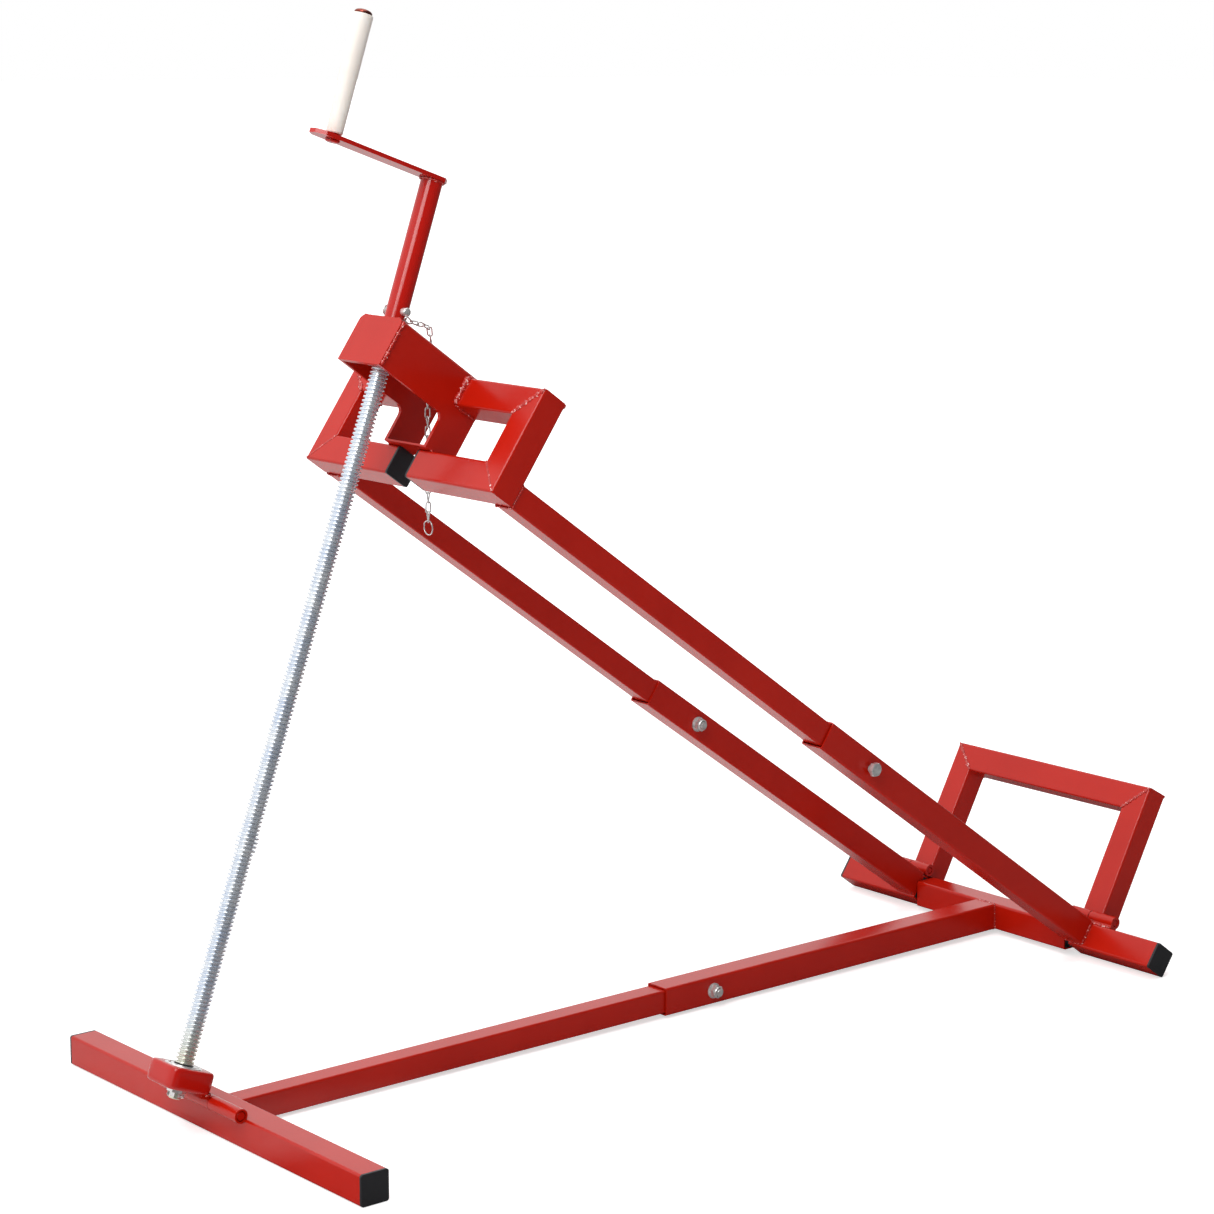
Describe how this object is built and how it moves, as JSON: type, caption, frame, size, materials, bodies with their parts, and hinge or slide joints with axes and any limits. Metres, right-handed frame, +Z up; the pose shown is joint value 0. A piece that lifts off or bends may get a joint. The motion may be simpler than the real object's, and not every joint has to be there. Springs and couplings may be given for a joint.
{
  "type": "ride-on mower lift jack",
  "caption": "Red tubular screw jack that raises one end of a ride-on mower: foot, lifting arms with fork head and folding rear hoop, threaded spindle with hand crank.",
  "frame": {"origin": "middle of the underside of the front foot", "axes": "+Z up, +X from the front foot to the rear hoop, +Y to the left of a person who stands at the crank and looks along +X"},
  "size_m": [1.2436, 0.5, 1.0386],
  "materials": {
    "red_paint": "gloss powder coat",
    "zinc_screw": "bright zinc plate",
    "bright_steel": "bright zinc plate",
    "black_plastic": "matt",
    "cream_plastic": "satin"
  },
  "bodies": {
    "base": {"foot_tube": "red_paint", "foot_end_caps": "black_plastic", "base_inner_tube": "red_paint", "base_sleeve": "red_paint", "rear_cross_sleeve": "red_paint", "pivot_bushes": "black_plastic", "base_bolt": "bright_steel", "base_nut": "bright_steel", "base_washer": "bright_steel", "foot_hinge_barrels": "red_paint", "foot_hinge_pin": "red_paint"},
    "lift": {"pivot_rod": "bright_steel", "pivot_spacer": "black_plastic", "stub_bushes": "black_plastic", "stub_end_caps": "black_plastic", "right_stub": "red_paint", "left_stub": "red_paint", "right_arm_sleeve": "red_paint", "left_arm_sleeve": "red_paint", "right_arm_inner": "red_paint", "left_arm_inner": "red_paint", "arm_bolts": "bright_steel", "arm_nuts": "bright_steel", "arm_washers": "bright_steel", "right_frame_side": "red_paint", "left_frame_side": "red_paint", "right_frame_top": "red_paint", "left_frame_top": "red_paint", "right_frame_bottom": "red_paint", "left_frame_bottom": "red_paint", "frame_end_caps": "black_plastic", "head_channel": "red_paint", "head_front_plate": "red_paint", "head_bottom_strip": "red_paint", "nut_bushes": "zinc_screw", "hoop_fixed_knuckles": "red_paint", "hoop_pins": "red_paint", "pin_chain": "bright_steel"},
    "nut": {"lift_nut": "zinc_screw"},
    "hoop": {"hoop_top": "red_paint", "right_hoop_leg": "red_paint", "left_hoop_leg": "red_paint", "hoop_knuckles": "red_paint"},
    "block": {"hinge_block": "red_paint", "thrust_bearing": "zinc_screw", "block_barrel": "red_paint"},
    "crank": {"spindle": "zinc_screw", "castle_nut": "bright_steel", "cotter_pin": "bright_steel", "crank_tube": "red_paint", "crank_arm": "red_paint", "grip_axle": "red_paint", "lock_pin": "bright_steel", "pin_clip": "bright_steel"},
    "grip_sleeve": {"grip": "cream_plastic"},
    "chain": {"hanging_chain": "bright_steel", "split_ring": "bright_steel"}
  },
  "joints": [
    {"name": "lift_pivot", "type": "hinge", "parent": "base", "child": "lift", "pos_m": [1.058, 0, 0.01992], "axis": [0, 1, 0], "range_deg": [-24.4, 0]},
    {"name": "spindle_tilt", "type": "hinge", "parent": "base", "child": "block", "pos_m": [-0.01925, 0, 0.03425], "axis": [0, 1, 0], "range_deg": [-12.6, 0.2]},
    {"name": "nut_pivot", "type": "hinge", "parent": "lift", "child": "nut", "pos_m": [0.19974, 0, 0.72085], "axis": [0, 1, 0], "range_deg": [-0.2, 12.4]},
    {"name": "crank_spin", "type": "hinge", "parent": "block", "child": "crank", "pos_m": [-0.04789, 0, 0.04474], "axis": [0.3439, 0, 0.939], "continuous": true},
    {"name": "grip_spin", "type": "hinge", "parent": "crank", "child": "grip_sleeve", "pos_m": [0.14157, 0, 0.91808], "axis": [0.2993, 0, 0.9542], "continuous": true},
    {"name": "hoop_fold", "type": "hinge", "parent": "lift", "child": "hoop", "pos_m": [1.06568, 0, 0.04386], "axis": [0, -1, 0], "range_deg": [0, 82.3]},
    {"name": "chain_swing", "type": "hinge", "parent": "lift", "child": "chain", "pos_m": [0.248, 0, 0.712], "axis": [0, 1, 0], "range_deg": [-8, 0.5]}
  ],
  "couplings": [
    {"joint": "spindle_tilt", "follows": "lift_pivot", "ratio": 0.5046},
    {"joint": "nut_pivot", "follows": "lift_pivot", "ratio": -0.4954}
  ]
}
